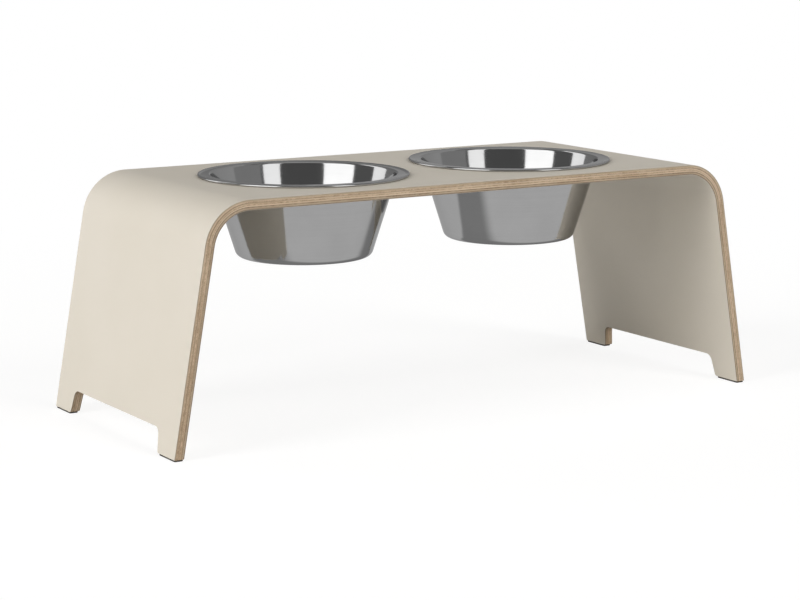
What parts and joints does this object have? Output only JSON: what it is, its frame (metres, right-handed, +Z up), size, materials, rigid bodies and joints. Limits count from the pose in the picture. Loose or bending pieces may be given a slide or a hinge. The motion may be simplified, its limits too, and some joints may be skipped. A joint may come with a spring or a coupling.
{
  "type": "elevated dog feeder",
  "caption": "Raised dog feeding stand of bent laminated plywood with splayed notched legs and lift-out round steel bowls hanging by their rims in cut-outs.",
  "frame": {"origin": "on the floor, under the middle of the stand", "axes": "+X along the stand from its left to its right leg, +Y from its front to its back edge, +Z up"},
  "size_m": [0.566, 0.226, 0.2015],
  "materials": {
    "laminate": "fine matt cream laminate",
    "veneer_long_grain": "light veneer edge, clear matt lacquer",
    "veneer_cross_grain": "darker end-grain veneer edge, clear matt lacquer",
    "foot_pad": "matt dark rubber",
    "steel": "polished stainless steel"
  },
  "bodies": {
    "stand": {"laminate_outer": "laminate", "veneer_1": "veneer_long_grain", "veneer_2": "veneer_cross_grain", "veneer_3": "veneer_long_grain", "veneer_4": "veneer_cross_grain", "veneer_5": "veneer_long_grain", "veneer_6": "veneer_cross_grain", "veneer_7": "veneer_long_grain", "laminate_inner": "laminate", "foot_pad_front_left": "foot_pad", "foot_pad_back_left": "foot_pad", "foot_pad_front_right": "foot_pad", "foot_pad_back_right": "foot_pad"},
    "bowl_left": {"bowl_left": "steel"},
    "bowl_right": {"bowl_right": "steel"}
  },
  "joints": [
    {"name": "bowl_left_lift", "type": "slide", "parent": "stand", "child": "bowl_left", "axis": [0, 0, 1], "range_m": [0, 0.09]},
    {"name": "bowl_right_lift", "type": "slide", "parent": "stand", "child": "bowl_right", "axis": [0, 0, 1], "range_m": [0, 0.09]}
  ]
}
